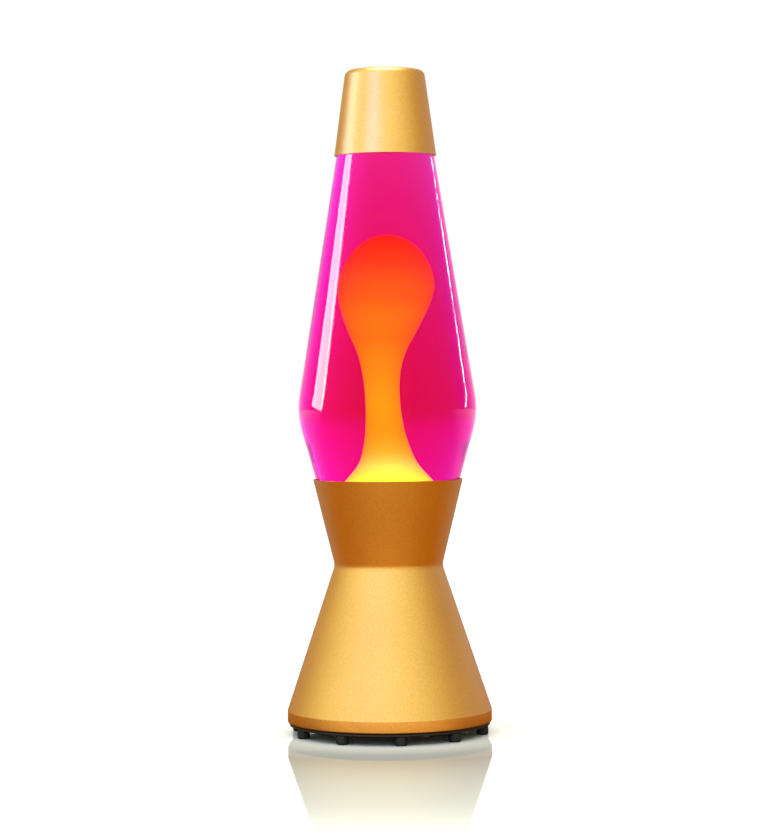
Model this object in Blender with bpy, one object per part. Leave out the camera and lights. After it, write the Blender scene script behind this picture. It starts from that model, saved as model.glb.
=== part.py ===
"""Motion lamp: a spun aluminium base and cap around a tapered glass bottle of liquid and wax.

All lengths are in metres. The origin is on the ground under the lamp's axis, +Z is up and the
front of the lamp faces -Y. The bottle lifts out of the base, the cap lifts off the bottle, and
the reflector bulb under the bottle unscrews from its holder.
"""
import math

import bmesh
import bpy
from mathutils import Matrix, Vector

# The whole lamp
TOTAL_HEIGHT = 0.430
GAP = 0.0003  # clearance kept between pieces that touch
BIG_STEPS = 32  # facets round the large turned pieces
SMALL_STEPS = 16
FOOT_STEPS = 12
SCREW_STEPS = 10

# Base: an hourglass of spun sheet with a short straight band and a lip turned in at the bottom
SHEET = 0.001
RIM_HEIGHT = 0.165
RIM_RADIUS = 0.0486
WAIST_HEIGHT = 0.1095
WAIST_RADIUS = 0.0350
BAND_TOP = 0.0156
BAND_RADIUS = 0.0664
LIP_HEIGHT = 0.0077
LIP_RADIUS = 0.0603

# Bottom plate and what is fixed to it
PLATE_BOTTOM = 0.006
PLATE_TOP = 0.0074
PLATE_RADIUS = 0.0652
FOOT_COUNT = 10
FOOT_RADIUS = 0.004
FOOT_RING = 0.0608
FIRST_FOOT = 6.4  # degrees from the front, counted towards +X
STEM_RADIUS = 0.0022
SCREW_RADIUS = 0.0015
SCREW_HOLE = 0.0018
SCREW_LENGTH = 0.0075
LUG_RING = 0.054
LUG_ANGLES = (24, 132, 240)
LUG_WIDTH = 0.010
LUG_HEIGHT = 0.0043
LUG_HEEL = 0.005  # reach of a lug towards the axis from its screw
BRACKET_SCREW_X = 0.032
BRACKET_TOP = 0.019
BRACKET_SHEET = 0.0012
BRACKET_WIDTH = 0.018
VENT_RING = 0.032
VENT_SLOT = Vector((0.003, 0.016, 0.004))
VENT_STEP = 16  # degrees between the slots of one group
TAG_SHEET = 0.0008

# Glass bottle: two cones that meet in a rounded belly, a shoulder and a crown-cork neck
GLASS_WALL = 0.0026
BOTTLE_FOOT = 0.128
BOTTLE_FLOOR = 0.1318
SEAT_RADIUS = 0.04685  # outside radius at the rim of the base, where the bottle wedges
LOWER_TAPER = 0.2803  # radius gained per metre of height below the belly
UPPER_TAPER = 0.1637  # radius lost per metre of height above it
COLLAR_HEIGHT = 0.375  # lower edge of the cap
COLLAR_RADIUS = 0.03167  # outside radius of the glass there
BELLY_BLEND = 0.055
SHOULDER_HEIGHT = 0.396
NECK_HEIGHT = 0.4035
NECK_RADIUS = 0.0125
BEAD_RADIUS = 0.0136
MOUTH_RADIUS = 0.0083
MOUTH_HEIGHT = 0.420
FILL_HEIGHT = 0.384
FLUID_MARGIN = 0.00035  # kept between the glass and the solids in it

# Cap
CAP_TOP_RADIUS = 0.0255
CAP_EDGE_RADIUS = 0.03305

# Wax: a head on a leaning neck that rises from the pool on the bottle's floor
WAX_TOP = 0.3214
WAX_WIDEST = 0.2855
WAX_RADIUS = 0.0230
WAX_NECK = (  # height, radius, shift towards +X, from under the head down to the pool
    (0.2855, 0.0230, -0.0003),
    (0.2756, 0.0215, -0.0011),
    (0.2600, 0.0169, -0.0021),
    (0.2444, 0.0114, -0.0027),
    (0.2290, 0.0088, -0.0027),
    (0.2130, 0.0083, -0.0021),
    (0.1980, 0.0098, -0.0010),
    (0.1820, 0.0130, 0.0001),
    (0.1715, 0.0182, 0.0005),
    (0.1620, 0.0260, 0.0005),
    (0.1555, 0.0335, 0.0002),
)
POOL_HEIGHT = 0.150
WAX_CLEARANCE = 0.0005

# Heating coil ring that lies on the bottle's floor
COIL_RING = 0.024
COIL_RADIUS = 0.0024
COIL_TURNS = 24
COIL_WIRE = 0.00045
GROOVE_HALF = 0.0035
GROOVE_DEPTH = 0.0064

# Lamp holder and reflector bulb
HOLDER_RADIUS = 0.014
HOLDER_BORE = 0.0085
HOLDER_TOP = 0.054
HOLDER_FLOOR = 0.003  # thickness of its floor
NIPPLE_RADIUS = 0.005
NIPPLE_BORE = 0.004
NIPPLE_HOLE = 0.0053
NIPPLE_FOOT = 0.0135
NIPPLE_NUT_HEIGHT = 0.0025
THREAD_RADIUS = 0.0069
THREAD_SHELL = (0.0335, 0.0525)  # lower and upper edge of the brass thread in the holder
TERMINAL_X = 0.0063
TERMINAL_HEIGHT = 0.0252
BULB_TOP = 0.113
BULB_RADIUS = 0.025
BULB_GLASS = 0.0008
BULB_CAP_LOW = 0.0312
BULB_CAP_HIGH = 0.0545

# Terminal block at the back of the plate
BLOCK_SIZE = Vector((0.026, 0.017, 0.013))
BLOCK_CENTRE = Vector((0.0, 0.038, PLATE_TOP + GAP + BLOCK_SIZE.z / 2))
PORT_SPACING = 0.008
PORT_HEIGHT = 0.013
PORT_RADIUS = 0.0016
LEAD_RADIUS = 0.0009

# Rubber gland for the mains cord, square to the sloping wall at the back
GLAND_HEIGHT = 0.031
GLAND_HOLE = 0.0048
GLAND_BORE = 0.0032

# Finishes: colour, roughness, metallic
GOLD = ("gold", (0.80, 0.50, 0.17), 0.35, 1.0)
GLASS = ("clear_glass", (0.95, 0.97, 0.97), 0.02, 0.0)
LIQUID = ("pink_liquid", (0.85, 0.02, 0.30), 0.05, 0.0)
WAX = ("orange_wax", (1.0, 0.25, 0.02), 0.35, 0.0)
BLACK_PLASTIC = ("black_plastic", (0.02, 0.02, 0.02), 0.45, 0.0)
BLACK_RUBBER = ("black_rubber", (0.025, 0.025, 0.025), 0.7, 0.0)
STEEL = ("zinc_plated_steel", (0.60, 0.60, 0.58), 0.35, 1.0)
BRASS = ("brass", (0.75, 0.55, 0.25), 0.3, 1.0)
TINPLATE = ("tinplate", (0.70, 0.70, 0.72), 0.25, 1.0)
CREAM_PLASTIC = ("cream_plastic", (0.80, 0.76, 0.66), 0.4, 0.0)
SOFT_LINER = ("liner", (0.75, 0.75, 0.72), 0.6, 0.0)
BULB_WHITE = ("bulb_glass", (0.85, 0.85, 0.82), 0.3, 0.0)
TUNGSTEN = ("tungsten", (0.35, 0.34, 0.33), 0.4, 1.0)
BROWN_SLEEVE = ("brown_sleeve", (0.20, 0.09, 0.04), 0.5, 0.0)
BLUE_SLEEVE = ("blue_sleeve", (0.03, 0.10, 0.45), 0.5, 0.0)
GREEN_SLEEVE = ("green_sleeve", (0.10, 0.42, 0.08), 0.5, 0.0)


def clear_scene():
    for thing in list(bpy.data.objects):
        bpy.data.objects.remove(thing)


def finish_material(finish):
    name, colour, roughness, metallic = finish
    material = bpy.data.materials.get(name)
    if material:
        return material
    material = bpy.data.materials.new(name)
    material.use_nodes = True
    shader = material.node_tree.nodes["Principled BSDF"]
    shader.inputs["Base Color"].default_value = (*colour, 1.0)
    shader.inputs["Roughness"].default_value = roughness
    shader.inputs["Metallic"].default_value = metallic
    return material


def add_mesh(name, shape, finish):
    """Turn a bmesh into a named object with outward faces, smooth apart from its real edges."""
    bmesh.ops.recalc_face_normals(shape, faces=shape.faces)
    mesh = bpy.data.meshes.new(name)
    shape.to_mesh(mesh)
    shape.free()
    mesh.materials.append(finish_material(finish))
    mesh.shade_smooth()
    mesh.set_sharp_from_angle(angle=math.radians(35))
    piece = bpy.data.objects.new(name, mesh)
    bpy.context.scene.collection.objects.link(piece)
    return piece


def rounded(corners):
    """The outline through (radius, height, blend) corners, each blend an arc: wide ones get more facets."""
    points = []
    for index, (radius, height, blend) in enumerate(corners):
        corner = Vector((radius, height))
        if blend == 0:
            points.append(corner)
            continue
        before = (Vector(corners[index - 1][:2]) - corner).normalized()
        after = (Vector(corners[index + 1][:2]) - corner).normalized()
        half = before.angle(after) / 2
        centre = corner + (before + after).normalized() * blend / math.sin(half)
        spoke = corner + before * blend / math.tan(half) - centre
        turn = math.copysign(math.pi - 2 * half, -before.cross(after))
        segments = 1 + round(blend / 0.02)
        for step in range(segments + 1):
            points.append(centre + Matrix.Rotation(turn * step / segments, 2) @ spoke)
    return points


def walled(outline, wall):
    """The outline and its copy one wall to its right, as one loop round a sheet."""
    offset = []
    for index, point in enumerate(outline):
        normals = []
        for first, second in ((index - 1, index), (index, index + 1)):
            if first >= 0 and second < len(outline):
                along = (outline[second] - outline[first]).normalized()
                normals.append(Vector((along.y, -along.x)))
        mitre = sum(normals, Vector((0, 0))).normalized()
        offset.append(point + mitre * wall / mitre.dot(normals[0]))
    return outline + offset[::-1]


def add_ring(shape, point, steps):
    """A ring of corners at (radius, height, shift, flute); a single point on the axis."""
    radius, height, shift, flute = (*point, 0.0, 0.0)[:4]
    if radius < 1e-6:
        return [shape.verts.new((shift, 0.0, height))]
    ring = []
    for step in range(steps):
        angle = 2 * math.pi * step / steps
        reach = radius + flute * (-1) ** step
        ring.append(shape.verts.new((shift + reach * math.cos(angle), reach * math.sin(angle), height)))
    return ring


def join_rings(shape, first, second):
    steps = max(len(first), len(second))
    for step in range(steps):
        corners = [
            first[step % len(first)],
            first[(step + 1) % len(first)],
            second[(step + 1) % len(second)],
            second[step % len(second)],
        ]
        shape.faces.new(list(dict.fromkeys(corners)))


def turned(name, outline, finish, steps=BIG_STEPS, looped=False):
    """A turned solid about Z. A looped outline closes on itself; the others end on the axis."""
    shape = bmesh.new()
    rings = [add_ring(shape, point, steps) for point in outline]
    if looped:
        rings.append(rings[0])
    for first, second in zip(rings, rings[1:]):
        join_rings(shape, first, second)
    return add_mesh(name, shape, finish)


def extruded(name, outline, width, finish):
    """An outline in X and Z made into a solid of the given width along Y."""
    shape = bmesh.new()
    corners = [shape.verts.new((x, -width / 2, z)) for x, z in outline]
    face = shape.faces.new(corners)
    grown = bmesh.ops.extrude_face_region(shape, geom=[face])["geom"]
    moved = [item for item in grown if isinstance(item, bmesh.types.BMVert)]
    bmesh.ops.translate(shape, verts=moved, vec=(0, width, 0))
    return add_mesh(name, shape, finish)


def block(name, size, centre, finish):
    shape = bmesh.new()
    bmesh.ops.create_cube(shape, size=1.0, matrix=Matrix.Translation(centre) @ Matrix.Diagonal((*size, 1)))
    return add_mesh(name, shape, finish)


def cut(piece, cutter_shape):
    """Cut a piece with a bmesh of separate closed cutters."""
    cutter = add_mesh(piece.name + "_cutter", cutter_shape, STEEL)
    cutter.hide_render = True
    cutter.display_type = "WIRE"
    difference = piece.modifiers.new("holes", "BOOLEAN")
    difference.operation = "DIFFERENCE"
    difference.solver = "EXACT"
    difference.object = cutter


def add_rod(shape, radius, start, end, steps=12):
    """Add a closed cylinder between two points to a bmesh."""
    along = Vector(end) - Vector(start)
    turn = along.to_track_quat("Z", "Y").to_matrix().to_4x4()
    bmesh.ops.create_cone(
        shape, cap_ends=True, segments=steps, radius1=radius, radius2=radius, depth=along.length,
        matrix=Matrix.Translation((Vector(start) + Vector(end)) / 2) @ turn,
    )


def smooth_route(points, spacing):
    """Points along a Catmull-Rom curve through the route's own points."""
    route = [Vector(point) for point in points]
    route = [2 * route[0] - route[1]] + route + [2 * route[-1] - route[-2]]
    smooth = []
    for p0, p1, p2, p3 in zip(route, route[1:], route[2:], route[3:]):
        steps = max(1, round((p2 - p1).length / spacing))
        for step in range(steps):
            t = step / steps
            bend = 2 * p0 - 5 * p1 + 4 * p2 - p3
            twist = 3 * p1 - p0 - 3 * p2 + p3
            smooth.append(p1 + 0.5 * t * ((p2 - p0) + t * (bend + t * twist)))
    return smooth + [route[-2]]


def wire(name, points, radius, finish, resolution=2, cyclic=False):
    """A round wire along the given points."""
    curve = bpy.data.curves.new(name, "CURVE")
    curve.dimensions = "3D"
    curve.bevel_depth = radius
    curve.bevel_resolution = resolution
    curve.use_fill_caps = True
    spline = curve.splines.new("POLY")
    spline.points.add(len(points) - 1)
    spline.use_cyclic_u = cyclic
    for target, point in zip(spline.points, points):
        target.co = (*point, 1.0)
    curve.materials.append(finish_material(finish))
    piece = bpy.data.objects.new(name, curve)
    bpy.context.scene.collection.objects.link(piece)
    return piece


def at_angle(radius, degrees, height=0.0):
    """A place on a ring, with the angle counted from the front towards +X."""
    angle = math.radians(degrees)
    return Vector((radius * math.sin(angle), -radius * math.cos(angle), height))


def foot_angles():
    return [FIRST_FOOT + 360 / FOOT_COUNT * index for index in range(FOOT_COUNT)]


def lower_cone(height):
    return SEAT_RADIUS + LOWER_TAPER * (height - RIM_HEIGHT)


def upper_cone(height):
    return COLLAR_RADIUS + UPPER_TAPER * (COLLAR_HEIGHT - height)


def belly():
    """Radius and height at which the bottle's two cones would meet."""
    rise = upper_cone(0) - lower_cone(0)
    height = rise / (LOWER_TAPER + UPPER_TAPER)
    return lower_cone(height), height


# ---- base body ----

def gland_frame():
    """Where the cord gland crosses the wall: a matrix whose Z axis points out of the wall."""
    taper = (BAND_RADIUS - WAIST_RADIUS) / (WAIST_HEIGHT - BAND_TOP)
    radius = BAND_RADIUS - taper * (GLAND_HEIGHT - BAND_TOP)
    outwards = Vector((0.0, 1.0, taper)).normalized()
    turn = outwards.to_track_quat("Z", "Y").to_matrix().to_4x4()
    return Matrix.Translation((0.0, radius, GLAND_HEIGHT)) @ turn


def make_base_shell():
    outline = rounded([
        (RIM_RADIUS, RIM_HEIGHT, 0),
        (WAIST_RADIUS, WAIST_HEIGHT, 0.004),
        (BAND_RADIUS, BAND_TOP, 0.0015),
        (BAND_RADIUS, LIP_HEIGHT, 0.0016),
        (LIP_RADIUS, LIP_HEIGHT, 0),
    ])
    shell = turned("base_shell", walled(outline, SHEET), GOLD, looped=True)
    hole = bmesh.new()
    frame = gland_frame()
    add_rod(hole, GLAND_HOLE, frame @ Vector((0, 0, -0.004)), frame @ Vector((0, 0, 0.004)), SMALL_STEPS)
    cut(shell, hole)


def make_cord_gland():
    """Grooved rubber bush: outer flange, neck in the wall, inner flange, bore for the cord."""
    neck_top = GAP
    neck_bottom = -SHEET - 0.0009
    outline = rounded([
        (GLAND_BORE, 0.0024, 0),
        (0.0064, 0.0024, 0.0010),
        (0.0064, neck_top, 0),
        (GLAND_HOLE - GAP, neck_top, 0),
        (GLAND_HOLE - GAP, neck_bottom, 0),
        (0.0060, neck_bottom, 0),
        (0.0052, -0.0045, 0),
        (GLAND_BORE, -0.0045, 0),
    ])
    gland = turned("cord_gland", outline, BLACK_RUBBER, SMALL_STEPS, looped=True)
    gland.matrix_world = gland_frame()


def make_bottom_plate():
    plate = turned("bottom_plate", [
        (0, PLATE_BOTTOM), (PLATE_RADIUS, PLATE_BOTTOM), (PLATE_RADIUS, PLATE_TOP), (0, PLATE_TOP),
    ], BLACK_PLASTIC)
    below = Vector((0, 0, PLATE_BOTTOM - 0.001))
    above = Vector((0, 0, PLATE_TOP + 0.001))
    holes = bmesh.new()
    for angle in foot_angles():
        centre = at_angle(FOOT_RING, angle)
        add_rod(holes, STEM_RADIUS + GAP, centre + below, centre + above, 10)
    screw_places = [at_angle(LUG_RING, angle) for angle in LUG_ANGLES]
    screw_places += [Vector((side * BRACKET_SCREW_X, 0, 0)) for side in (-1, 1)]
    screw_places.append(Vector((PORT_SPACING / 2, BLOCK_CENTRE.y, 0)))
    for centre in screw_places:
        add_rod(holes, SCREW_HOLE, centre + below, centre + above, SCREW_STEPS)
    middle = (PLATE_BOTTOM + PLATE_TOP) / 2
    for quarter in (45, 135, 225, 315):
        for angle in (quarter - VENT_STEP, quarter, quarter + VENT_STEP):
            place = Matrix.Translation(at_angle(VENT_RING, angle, middle))
            turn = Matrix.Rotation(math.radians(angle), 4, "Z")
            size = Matrix.Diagonal((*VENT_SLOT, 1))
            bmesh.ops.create_cube(holes, size=1.0, matrix=place @ turn @ size)
    cut(plate, holes)


def make_feet():
    """Round rubber feet, each with a peg pressed into a hole in the plate."""
    outline = rounded([
        (0, 0, 0),
        (FOOT_RADIUS, 0, 0.0007),
        (FOOT_RADIUS, PLATE_BOTTOM - GAP, 0),
        (STEM_RADIUS, PLATE_BOTTOM - GAP, 0),
        (STEM_RADIUS, PLATE_TOP, 0),
        (0, PLATE_TOP, 0),
    ])
    for index, angle in enumerate(foot_angles()):
        foot = turned(f"foot_{index + 1}", outline, BLACK_RUBBER, FOOT_STEPS)
        foot.location = at_angle(FOOT_RING, angle)


def screw(name, place, length=SCREW_LENGTH):
    """A pan-head screw driven up from under the plate."""
    under = PLATE_BOTTOM - GAP
    piece = turned(name, [
        (0, under - 0.0019),
        (0.0017, under - 0.0019),
        (0.0028, under - 0.0011),
        (0.0028, under),
        (SCREW_RADIUS, under),
        (SCREW_RADIUS, under + length),
        (0, under + length),
    ], STEEL, SCREW_STEPS)
    piece.location = place
    return piece


def hex_nut(name, place, bottom, height, corner, bore):
    bore_corner = bore / math.cos(math.pi / 6)
    piece = turned(name, [
        (bore_corner, bottom), (corner, bottom), (corner, bottom + height), (bore_corner, bottom + height),
    ], STEEL, 6, looped=True)
    piece.location = place


def make_clamp_lugs():
    """Stepped lugs that pull the plate up against the base shell's lip."""
    foot_end = LIP_RADIUS - 0.0008 - LUG_RING
    nose_end = BAND_RADIUS - SHEET - 0.0014 - LUG_RING
    low = PLATE_TOP + GAP
    high = low + LUG_HEIGHT
    step = LIP_HEIGHT + SHEET + GAP
    outline = [
        (-LUG_HEEL, low), (foot_end, low), (foot_end, step),
        (nose_end, step), (nose_end, high), (-LUG_HEEL, high),
    ]
    for index, angle in enumerate(LUG_ANGLES):
        lug = extruded(f"clamp_lug_{index + 1}", outline, LUG_WIDTH, STEEL)
        hole = bmesh.new()
        add_rod(hole, SCREW_HOLE, (0, 0, low - 0.001), (0, 0, high + 0.001), SCREW_STEPS)
        cut(lug, hole)
        cutter = lug.modifiers["holes"].object
        for piece in (lug, cutter):
            piece.location = at_angle(LUG_RING, angle)
            piece.rotation_euler.z = math.radians(angle - 90)
        screw(f"plate_screw_{index + 1}", at_angle(LUG_RING, angle))


def make_holder_bracket():
    """Pressed strap that carries the lamp holder over the plate."""
    low = PLATE_TOP + GAP + BRACKET_SHEET
    centre_line = [
        (-0.038, low), (-0.025, low), (-0.019, BRACKET_TOP), (0.019, BRACKET_TOP), (0.025, low), (0.038, low),
    ]
    outline = walled([Vector(point) for point in centre_line], BRACKET_SHEET)
    bracket = extruded("holder_bracket", outline, BRACKET_WIDTH, STEEL)
    holes = bmesh.new()
    add_rod(holes, NIPPLE_HOLE, (0, 0, BRACKET_TOP - 0.004), (0, 0, BRACKET_TOP + 0.002), SMALL_STEPS)
    for side in (-1, 1):
        x = side * BRACKET_SCREW_X
        add_rod(holes, SCREW_HOLE, (x, 0, low - 0.003), (x, 0, low + 0.002), SCREW_STEPS)
    cut(bracket, holes)
    for index, side in enumerate((-1, 1)):
        place = Vector((side * BRACKET_SCREW_X, 0, 0))
        screw(f"bracket_screw_{index + 1}", place)
        lift = GAP if side < 0 else 2 * GAP + TAG_SHEET
        hex_nut(f"bracket_nut_{index + 1}", place, low + lift, 0.0024, 0.0032, SCREW_HOLE)


def make_earth_tag():
    """Flat tag under the right-hand bracket nut, where the earth lead ends."""
    bottom = PLATE_TOP + BRACKET_SHEET + 2 * GAP
    centre = (BRACKET_SCREW_X, 0.0027, bottom + TAG_SHEET / 2)
    tag = block("earth_tag", (0.0064, 0.0125, TAG_SHEET), centre, BRASS)
    hole = bmesh.new()
    screw_axis = Vector((BRACKET_SCREW_X, 0, bottom))
    clear = Vector((0, 0, 0.002))
    add_rod(hole, SCREW_HOLE, screw_axis - clear, screw_axis + clear, SCREW_STEPS)
    cut(tag, hole)


def make_lamp_holder():
    """Small-screw lamp holder on a hollow threaded nipple, held to the bracket by a nut."""
    base = BRACKET_TOP + GAP
    floor = base + HOLDER_FLOOR
    body = [
        (NIPPLE_HOLE, base, 0), (HOLDER_RADIUS, base, 0.0012), (HOLDER_RADIUS, HOLDER_TOP, 0.0012),
        (HOLDER_BORE, HOLDER_TOP, 0), (HOLDER_BORE, floor, 0), (NIPPLE_HOLE, floor, 0),
    ]
    turned("lamp_holder", rounded(body), BLACK_PLASTIC, 24, looped=True)
    nipple_top = floor + 0.0012
    nipple = [
        (NIPPLE_BORE, NIPPLE_FOOT), (NIPPLE_RADIUS, NIPPLE_FOOT),
        (NIPPLE_RADIUS, nipple_top), (NIPPLE_BORE, nipple_top),
    ]
    turned("holder_nipple", nipple, STEEL, SMALL_STEPS, looped=True)
    nut_bottom = BRACKET_TOP - BRACKET_SHEET - GAP - NIPPLE_NUT_HEIGHT
    hex_nut("nipple_nut", (0, 0, 0), nut_bottom, NIPPLE_NUT_HEIGHT, 0.0078, NIPPLE_HOLE)
    inner = THREAD_RADIUS + 0.0005
    outer = inner + 0.0006
    low, high = THREAD_SHELL
    shell = [(inner, low), (outer, low), (outer, high), (inner, high)]
    turned("holder_thread_shell", shell, BRASS, SMALL_STEPS, looped=True)


def make_holder_terminals():
    for name, side in (("live_terminal", 1), ("neutral_terminal", -1)):
        block(name, (0.0026, 0.004, 0.004), (side * TERMINAL_X, 0, TERMINAL_HEIGHT), BRASS)
    strip = [Vector(point) for point in ((0.0046, 0.0235), (0.0046, 0.0274), (-0.0022, 0.0280))]
    extruded("centre_contact", walled(strip[::-1], 0.0004), 0.004, BRASS)


def make_terminal_block():
    body = block("terminal_block", BLOCK_SIZE, BLOCK_CENTRE, CREAM_PLASTIC)
    back = BLOCK_CENTRE.y + BLOCK_SIZE.y
    front = BLOCK_CENTRE.y - BLOCK_SIZE.y
    roof = BLOCK_CENTRE.z + BLOCK_SIZE.z / 2
    middle = BLOCK_CENTRE.y
    holes = bmesh.new()
    for column in (-1, 0, 1):
        x = column * PORT_SPACING
        add_rod(holes, PORT_RADIUS, (x, front, PORT_HEIGHT), (x, back, PORT_HEIGHT), SCREW_STEPS)
        add_rod(holes, SCREW_HOLE, (x, middle, roof - 0.004), (x, middle, roof + 0.001), SCREW_STEPS)
        stud = bmesh.new()
        add_rod(stud, SCREW_RADIUS, (x, middle, roof - 0.0037), (x, middle, roof - 0.001), SCREW_STEPS)
        add_mesh(f"terminal_screw_{column + 2}", stud, BRASS)
    fixing = Vector((PORT_SPACING / 2, BLOCK_CENTRE.y, 0))
    hole_top = fixing + Vector((0, 0, PLATE_TOP + 0.0041))
    add_rod(holes, SCREW_HOLE, fixing + Vector((0, 0, PLATE_TOP)), hole_top, SCREW_STEPS)
    cut(body, holes)
    screw("block_screw", fixing, length=0.0054)


def make_leads():
    """Single insulated leads from the block: two up the nipple to the holder, one to the tag."""
    port = BLOCK_CENTRE.y - 0.0045
    routes = {
        "live_lead": (BROWN_SLEEVE, [
            (0, port, PORT_HEIGHT), (0.0004, 0.025, 0.0125), (0.0014, 0.011, 0.0098), (0.0015, 0.003, 0.0098),
            (0.0015, 0.0003, 0.0135), (0.0015, 0, 0.0200), (0.0021, 0, 0.0238), (0.0036, 0, 0.0252),
        ]),
        "neutral_lead": (BLUE_SLEEVE, [
            (-PORT_SPACING, port, PORT_HEIGHT), (-0.0075, 0.025, 0.0125), (-0.0022, 0.011, 0.0098),
            (-0.0015, 0.003, 0.0098), (-0.0015, 0.0003, 0.0135), (-0.0015, 0, 0.0200),
            (-0.0023, 0, 0.0238), (-0.0045, 0, 0.0252),
        ]),
        "earth_lead": (GREEN_SLEEVE, [
            (PORT_SPACING, port, PORT_HEIGHT), (0.0092, 0.026, 0.0130), (0.018, 0.019, 0.0125),
            (0.0285, 0.0125, 0.0118), (BRACKET_SCREW_X, 0.0058, 0.0114),
        ]),
    }
    for name, (finish, points) in routes.items():
        wire(name, smooth_route(points, 0.0035), LEAD_RADIUS, finish)


# ---- bulb body ----

def make_bulb():
    envelope = rounded([
        (0, BULB_TOP, 0),
        (0.0225, BULB_TOP - 0.0030, 0.0060),
        (BULB_RADIUS, 0.098, 0.0100),
        (0.0110, 0.070, 0.0200),
        (0.0098, 0.0585, 0.0020),
        (0.0061, 0.0560, 0.0010),
        (0.0061, 0.046, 0),
    ])
    turned("bulb_envelope", walled(envelope, BULB_GLASS), BULB_WHITE, 24)
    cap = rounded([
        (0.0080, BULB_CAP_HIGH, 0),
        (THREAD_RADIUS, BULB_CAP_HIGH - 0.0025, 0.0010),
        (THREAD_RADIUS, BULB_CAP_LOW + 0.0018, 0.0010),
        (0.0036, BULB_CAP_LOW, 0),
    ])
    turned("bulb_screw_cap", walled(cap, 0.0004), TINPLATE, SMALL_STEPS, looped=True)
    turned("bulb_insulator", [
        (0, 0.0301), (0.0027, 0.0301), (0.0027, 0.0345), (0, 0.0345),
    ], BLACK_PLASTIC, SMALL_STEPS)
    turned("bulb_tip_contact", [
        (0, 0.0286), (0.0014, 0.0286), (0.0022, 0.0293), (0.0022, 0.0298), (0, 0.0298),
    ], TINPLATE, SMALL_STEPS)
    turned("bulb_stem", [
        (0, 0.0470), (0.0042, 0.0470), (0.0016, 0.0560), (0.0016, 0.0720), (0, 0.0720),
    ], BULB_WHITE, SMALL_STEPS)
    route = [
        (-0.0025, 0, 0.0600), (-0.0030, 0, 0.0740), (-0.0085, 0, 0.0880), (0, -0.0020, 0.0900),
        (0.0085, 0, 0.0880), (0.0030, 0, 0.0740), (0.0025, 0, 0.0600),
    ]
    wire("bulb_filament", smooth_route(route, 0.005), 0.0004, TUNGSTEN, resolution=0)


# ---- bottle body ----

def glass_inside(height, cone):
    return cone(height) - GLASS_WALL


def make_glass_bottle():
    belly_radius, belly_height = belly()
    bead_bottom = MOUTH_HEIGHT - 0.007
    outline = rounded([
        (0, BOTTLE_FOOT + 0.0012, 0),
        (0.0260, BOTTLE_FOOT + 0.0012, 0),
        (0.0290, BOTTLE_FOOT, 0),
        (lower_cone(BOTTLE_FOOT), BOTTLE_FOOT, 0.0030),
        (belly_radius, belly_height, BELLY_BLEND),
        (upper_cone(SHOULDER_HEIGHT), SHOULDER_HEIGHT, 0.0070),
        (NECK_RADIUS, NECK_HEIGHT, 0.0030),
        (NECK_RADIUS, bead_bottom, 0),
        (BEAD_RADIUS, bead_bottom + 0.001, 0),
        (BEAD_RADIUS, MOUTH_HEIGHT, 0.0012),
        (MOUTH_RADIUS, MOUTH_HEIGHT, 0.0008),
        (MOUTH_RADIUS, NECK_HEIGHT - 0.003, 0.0030),
        (glass_inside(SHOULDER_HEIGHT - 0.003, upper_cone), SHOULDER_HEIGHT - 0.003, 0.0050),
        (belly_radius - GLASS_WALL, belly_height, BELLY_BLEND - GLASS_WALL),
        (glass_inside(BOTTLE_FLOOR, lower_cone), BOTTLE_FLOOR, 0.0030),
        (0, BOTTLE_FLOOR, 0),
    ])
    turned("glass_bottle", outline, GLASS)


def head_arc(clearance, count=4):
    """Rings over the wax head, a quarter ellipse from its top to its widest ring."""
    rings = []
    for step in range(count):
        angle = math.pi / 2 * step / count
        radius = (WAX_RADIUS + clearance) * math.sin(angle) if step else 0.0
        height = WAX_WIDEST + (WAX_TOP - WAX_WIDEST + clearance) * math.cos(angle)
        rings.append((radius, height, 0.0004 * math.cos(angle)))
    return rings


def wax_side(clearance):
    """Rings of the wax from its top down to where the pool begins."""
    neck = [(radius + clearance, height + clearance, shift) for height, radius, shift in WAX_NECK]
    return head_arc(clearance) + neck


def make_wax():
    inner = COIL_RING - GROOVE_HALF
    outer = COIL_RING + GROOVE_HALF
    floor = BOTTLE_FLOOR + GAP
    roof = floor + GROOVE_DEPTH
    pool = [
        (glass_inside(POOL_HEIGHT, lower_cone) - FLUID_MARGIN, POOL_HEIGHT),
        (glass_inside(floor + 0.003, lower_cone) - FLUID_MARGIN, floor + 0.003),
        (glass_inside(floor, lower_cone) - 0.0025, floor),
    ]
    groove = [(outer, floor), (outer, roof), (inner, roof), (inner, floor), (0, floor)]
    turned("wax", wax_side(0.0) + pool + groove, WAX)


def make_liquid():
    """The liquid around the wax; its underside is open where the wax pool lies."""
    belly_radius, belly_height = belly()
    wall = rounded([
        (0, FILL_HEIGHT, 0),
        (glass_inside(FILL_HEIGHT, upper_cone) - FLUID_MARGIN, FILL_HEIGHT, 0),
        (belly_radius - GLASS_WALL - FLUID_MARGIN, belly_height, BELLY_BLEND - GLASS_WALL),
        (glass_inside(POOL_HEIGHT + 0.001, lower_cone) - FLUID_MARGIN, POOL_HEIGHT + 0.001, 0),
    ])
    turned("liquid", [tuple(point) for point in wall] + wax_side(WAX_CLEARANCE)[::-1], LIQUID)


def make_heat_coil():
    """A fine wire wound round a ring, closed on itself."""
    centre = BOTTLE_FLOOR + GAP + COIL_RADIUS + COIL_WIRE
    count = COIL_TURNS * 6
    points = []
    for step in range(count):
        turn = 2 * math.pi * step / count
        wind = turn * COIL_TURNS
        reach = COIL_RING + COIL_RADIUS * math.cos(wind)
        points.append((reach * math.cos(turn), reach * math.sin(turn), centre + COIL_RADIUS * math.sin(wind)))
    wire("heat_coil", points, COIL_WIRE, STEEL, resolution=0, cyclic=True)


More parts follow.
